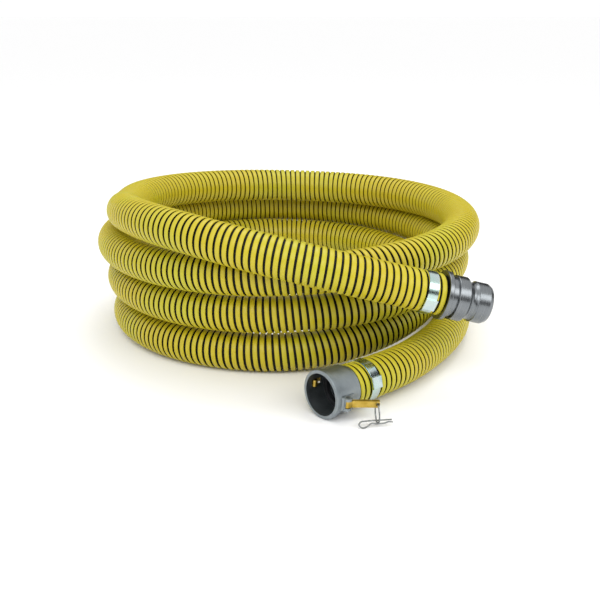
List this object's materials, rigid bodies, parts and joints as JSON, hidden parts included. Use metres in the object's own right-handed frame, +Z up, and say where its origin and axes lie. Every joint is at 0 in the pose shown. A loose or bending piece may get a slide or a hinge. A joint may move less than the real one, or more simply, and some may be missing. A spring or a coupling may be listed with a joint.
{
  "type": "coiled suction hose with cam-and-groove couplings",
  "caption": "Coiled rib-wound suction hose with a male cam-and-groove adapter on one end and a female coupler with two cam arms on the other.",
  "frame": {"origin": "on the floor under the centre of the whole coil's bounding box", "axes": "+Z up, -Y towards the side with the two couplings, +X towards the adapter"},
  "size_m": [0.7007, 0.8434, 0.2766],
  "materials": {
    "hose_wall": "smooth black EPDM wall seen between the ribs",
    "hose_rib": "semi-gloss yellow polyethylene rib wound proud of the wall",
    "cast_aluminium": "cast aluminium, turned bright on the sealing lands",
    "gasket_rubber": "matt black nitrile",
    "band_steel": "zinc-bright rolled strap",
    "arm_brass": "cast brass, lightly tarnished",
    "pin_steel": "drawn stainless",
    "wire_steel": "drawn wire, dull"
  },
  "bodies": {
    "hose": {"hose_coil": "hose_wall", "hose_upper_lead": "hose_wall", "hose_lower_lead": "hose_wall", "adapter_body": "cast_aluminium", "coupler_body": "cast_aluminium", "coupler_gasket": "gasket_rubber", "adapter_clamp_band": "band_steel", "adapter_clamp_buckle": "band_steel", "adapter_clamp_tail": "band_steel", "coupler_clamp_band": "band_steel", "coupler_clamp_buckle": "band_steel", "coupler_clamp_tail": "band_steel", "near_pivot_pin": "pin_steel", "far_pivot_pin": "pin_steel"},
    "near_arm": {"near_cam_arm": "arm_brass"},
    "near_ring": {"near_pull_ring": "wire_steel"},
    "near_clip": {"near_safety_clip": "wire_steel"},
    "far_arm": {"far_cam_arm": "arm_brass"},
    "far_ring": {"far_pull_ring": "wire_steel"},
    "far_clip": {"far_safety_clip": "wire_steel"}
  },
  "joints": [
    {"name": "near_arm_hinge", "type": "hinge", "parent": "hose", "child": "near_arm", "pos_m": [0.09142, -0.40319, 0.03217], "axis": [-0.0901, 0.1061, -0.9903], "range_deg": [-20, 90]},
    {"name": "near_ring_swing", "type": "hinge", "parent": "near_arm", "child": "near_ring", "pos_m": [0.13473, -0.39656, 0.02894], "axis": [0.1396, -0.9831, -0.118], "range_deg": [-30, 30]},
    {"name": "near_clip_swing", "type": "hinge", "parent": "near_ring", "child": "near_clip", "pos_m": [0.13676, -0.41083, 0.00693], "axis": [-0.0842, 0.5928, -0.801], "range_deg": [-15, 15]},
    {"name": "far_arm_hinge", "type": "hinge", "parent": "hose", "child": "far_arm", "pos_m": [0.04142, -0.34431, 0.04303], "axis": [0.0901, -0.1061, 0.9903], "range_deg": [0, 110]},
    {"name": "far_ring_swing", "type": "hinge", "parent": "far_arm", "child": "far_ring", "pos_m": [0.06841, -0.30966, 0.04429], "axis": [-0.7854, 0.6038, 0.1361], "range_deg": [-30, 30]},
    {"name": "far_clip_swing", "type": "hinge", "parent": "far_ring", "child": "far_clip", "pos_m": [0.05473, -0.29914, 0.02567], "axis": [-0.2992, 0.2301, 0.926], "range_deg": [-15, 15]}
  ]
}
